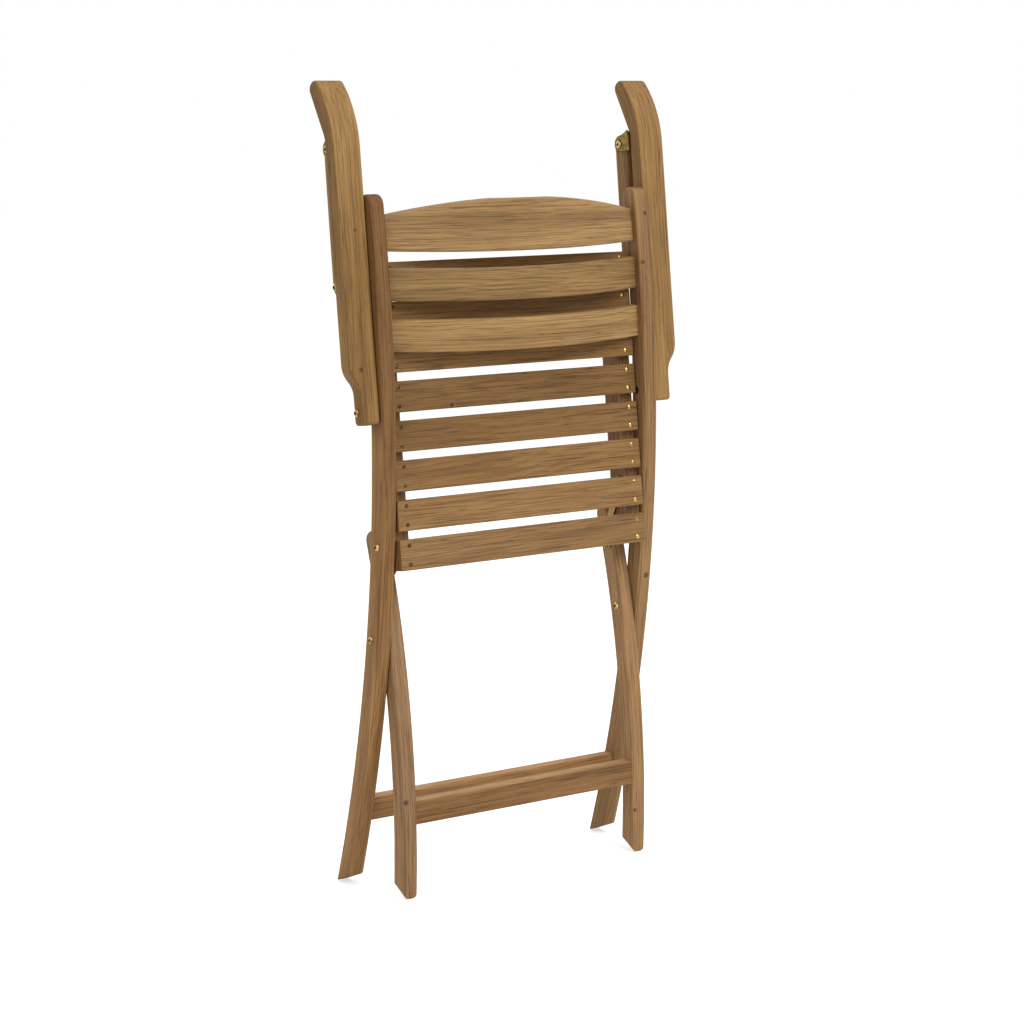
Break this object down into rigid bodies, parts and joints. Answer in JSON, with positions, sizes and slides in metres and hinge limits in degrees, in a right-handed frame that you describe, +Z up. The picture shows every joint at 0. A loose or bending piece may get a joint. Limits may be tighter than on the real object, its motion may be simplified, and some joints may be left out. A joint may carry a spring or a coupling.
{
  "type": "folding armchair",
  "caption": "Folding wooden outdoor armchair with a slatted seat and back, shaped arms, scissor legs and brass fittings, shown folded flat and standing upright.",
  "frame": {"origin": "on the ground, at the middle of the footprint of the folded chair", "axes": "+Z up; the sitter faces -Y; +X towards the sitter's left-hand side"},
  "size_m": [0.586, 0.1514, 1.1644],
  "materials": {
    "teak": "oiled teak, satin",
    "brass": "polished brass, slightly dulled"
  },
  "bodies": {
    "back_frame": {"stile_left": "teak", "stile_right": "teak", "top_rail": "teak", "back_slat_upper": "teak", "back_slat_lower": "teak", "front_stretcher": "teak", "cross_bolts": "brass", "seat_bolts": "brass", "arm_bolts": "brass", "cross_washers": "brass", "seat_washers": "brass", "arm_washers": "brass"},
    "leg_frame": {"rear_leg_left": "teak", "rear_leg_right": "teak", "rear_stretcher": "teak", "stay_leg_pins": "brass"},
    "seat": {"seat_rail_left": "teak", "seat_rail_right": "teak", "seat_slat_1": "teak", "seat_slat_2": "teak", "seat_slat_3": "teak", "seat_slat_4": "teak", "seat_slat_5": "teak", "seat_slat_6": "teak", "seat_slat_7": "teak", "seat_slat_8": "teak", "seat_screws": "brass", "seat_screws_short": "brass", "stay_rail_pins": "brass", "post_foot_bolts": "brass", "post_sleeves": "brass"},
    "stay_left": {"stay_left": "brass"},
    "arm_left": {"arm_left": "teak", "arm_bracket_left": "brass", "bracket_screws_left": "brass", "post_head_bolt_left": "brass"},
    "post_left": {"post_left": "teak"},
    "stay_right": {"stay_right": "brass"},
    "arm_right": {"arm_right": "teak", "arm_bracket_right": "brass", "bracket_screws_right": "brass", "post_head_bolt_right": "brass"},
    "post_right": {"post_right": "teak"}
  },
  "joints": [
    {"name": "seat_fold", "type": "hinge", "parent": "back_frame", "child": "seat", "pos_m": [0, 0.041, 0.5135], "axis": [1, 0, 0], "range_deg": [0, 96.9]},
    {"name": "leg_fold", "type": "hinge", "parent": "back_frame", "child": "leg_frame", "pos_m": [0, 0.0235, 0.377], "axis": [1, 0, 0], "range_deg": [0, 50.92]},
    {"name": "stay_left_swing", "type": "hinge", "parent": "seat", "child": "stay_left", "pos_m": [0.19645, 0.02923, 0.56448], "axis": [1, 0, 0], "range_deg": [-116.72, 0]},
    {"name": "arm_left_swing", "type": "hinge", "parent": "back_frame", "child": "arm_left", "pos_m": [0.262, 0.0365, 0.7055], "axis": [1, 0, 0], "range_deg": [0, 94.92]},
    {"name": "post_left_swing", "type": "hinge", "parent": "seat", "child": "post_left", "pos_m": [0.26, -0.02151, 0.87751], "axis": [1, 0, 0], "range_deg": [-100.1, 0]},
    {"name": "stay_right_swing", "type": "hinge", "parent": "seat", "child": "stay_right", "pos_m": [-0.19645, 0.02923, 0.56448], "axis": [1, 0, 0], "range_deg": [-116.72, 0]},
    {"name": "arm_right_swing", "type": "hinge", "parent": "back_frame", "child": "arm_right", "pos_m": [-0.262, 0.0365, 0.7055], "axis": [1, 0, 0], "range_deg": [0, 94.92]},
    {"name": "post_right_swing", "type": "hinge", "parent": "seat", "child": "post_right", "pos_m": [-0.26, -0.02151, 0.87751], "axis": [1, 0, 0], "range_deg": [-100.1, 0]}
  ],
  "couplings": [
    {"joint": "leg_fold", "follows": "seat_fold", "ratio": 0.525},
    {"joint": "stay_left_swing", "follows": "seat_fold", "ratio": -1.204},
    {"joint": "arm_left_swing", "follows": "seat_fold", "ratio": 0.979},
    {"joint": "post_left_swing", "follows": "seat_fold", "ratio": -1.0325},
    {"joint": "stay_right_swing", "follows": "seat_fold", "ratio": -1.204},
    {"joint": "arm_right_swing", "follows": "seat_fold", "ratio": 0.979},
    {"joint": "post_right_swing", "follows": "seat_fold", "ratio": -1.0325}
  ]
}
